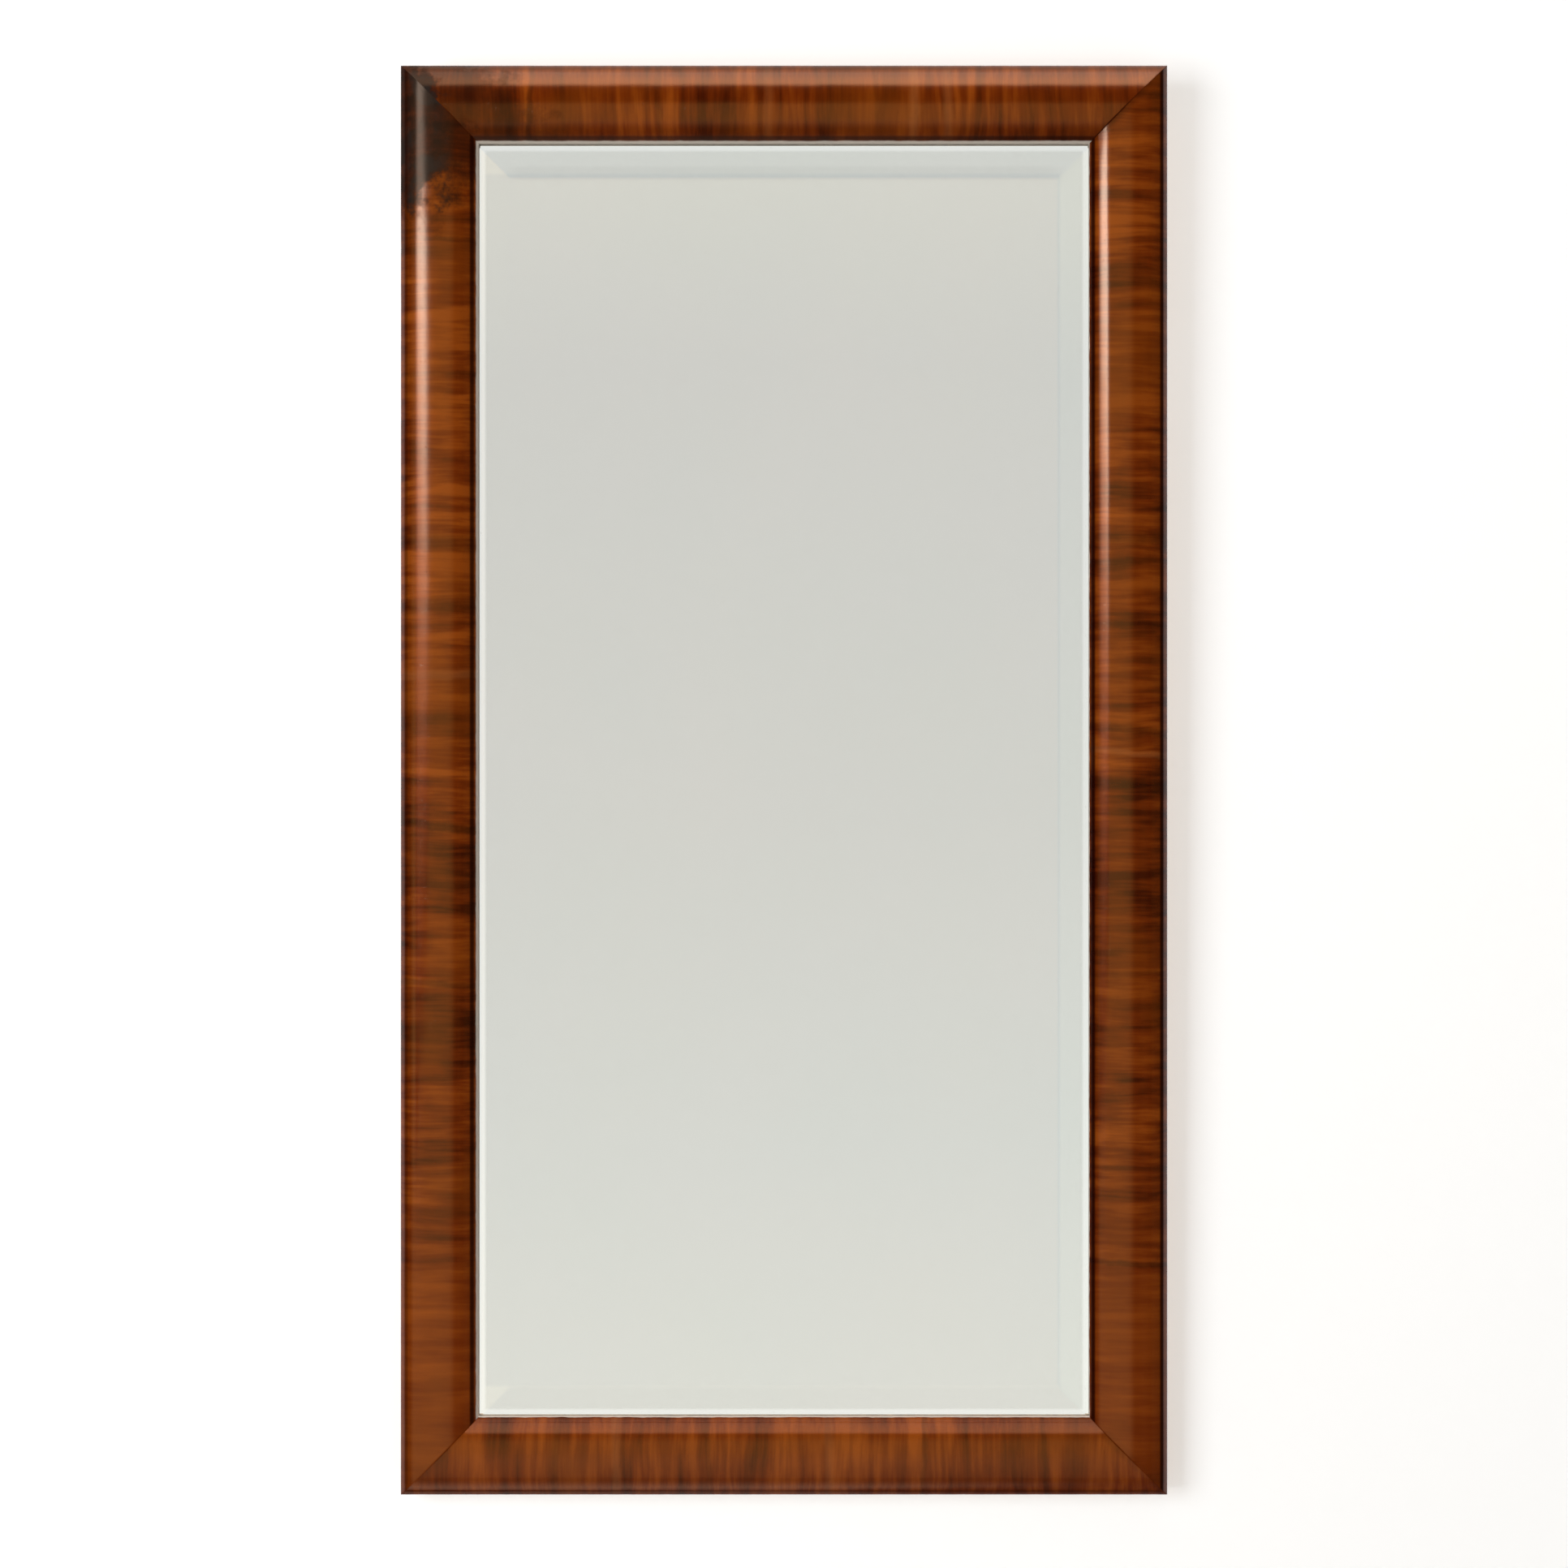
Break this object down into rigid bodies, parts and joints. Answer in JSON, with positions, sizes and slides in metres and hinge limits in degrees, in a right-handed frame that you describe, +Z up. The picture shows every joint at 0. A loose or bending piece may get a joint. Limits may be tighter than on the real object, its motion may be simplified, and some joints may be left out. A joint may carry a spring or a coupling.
{
  "type": "pier mirror",
  "caption": "Tall wall-hung rectangular mirror: bevelled silvered plate in a mitred, cross-banded cushion frame, with lapped back boards and hinged hanging rings.",
  "frame": {"origin": "on the wall plane, in the middle of the width, at the height where two wall hooks carry the inner crowns of the hanging rings", "axes": "+Z up, +Y into the wall so that the plate faces -Y, +X to the right as seen from the front"},
  "size_m": [0.59, 0.0362, 1.1],
  "materials": {
    "core_pine": "bare old softwood, a thin pale line of it bare at the sight edge",
    "face_veneer": "figured cross-banded veneer, French polished to a high gloss",
    "edge_veneer": "plain veneer, polished",
    "key_hardwood": "glued hardwood",
    "plate_glass": "clear polished plate with a ground and polished bevel",
    "silvering": "silvered, painted behind",
    "cork": "cut cork",
    "board_pine": "planed softwood, darkened by age",
    "screw_brass": "dull slotted brass",
    "strap_steel": "dull steel",
    "ring_steel": "worn steel wire",
    "screw_steel": "slotted steel",
    "bumper_rubber": "matt rubber"
  },
  "bodies": {
    "mirror": {"core_left": "core_pine", "core_right": "core_pine", "core_top": "core_pine", "core_bottom": "core_pine", "veneer_left": "face_veneer", "veneer_right": "face_veneer", "veneer_top": "face_veneer", "veneer_bottom": "face_veneer", "edge_veneer_left": "edge_veneer", "edge_veneer_right": "edge_veneer", "edge_veneer_top": "edge_veneer", "edge_veneer_bottom": "edge_veneer", "key_top_left": "key_hardwood", "key_top_right": "key_hardwood", "key_bottom_left": "key_hardwood", "key_bottom_right": "key_hardwood", "mirror_plate": "plate_glass", "silvering": "silvering", "setting_shims": "cork", "retaining_wedges": "core_pine", "board_left": "board_pine", "board_middle": "board_pine", "board_right": "board_pine", "board_screws": "screw_brass", "strap_left": "strap_steel", "strap_right": "strap_steel", "strap_screws_left": "screw_steel", "strap_screws_right": "screw_steel", "bumper_left": "bumper_rubber", "bumper_right": "bumper_rubber"},
    "left_ring": {"ring_left": "ring_steel"},
    "right_ring": {"ring_right": "ring_steel"}
  },
  "joints": [
    {"name": "ring_left_hinge", "type": "hinge", "parent": "mirror", "child": "left_ring", "pos_m": [-0.275, -0.00318, -0.02048], "axis": [-1, 0, 0], "range_deg": [0, 182]},
    {"name": "ring_right_hinge", "type": "hinge", "parent": "mirror", "child": "right_ring", "pos_m": [0.275, -0.00318, -0.02048], "axis": [-1, 0, 0], "range_deg": [0, 182]}
  ]
}
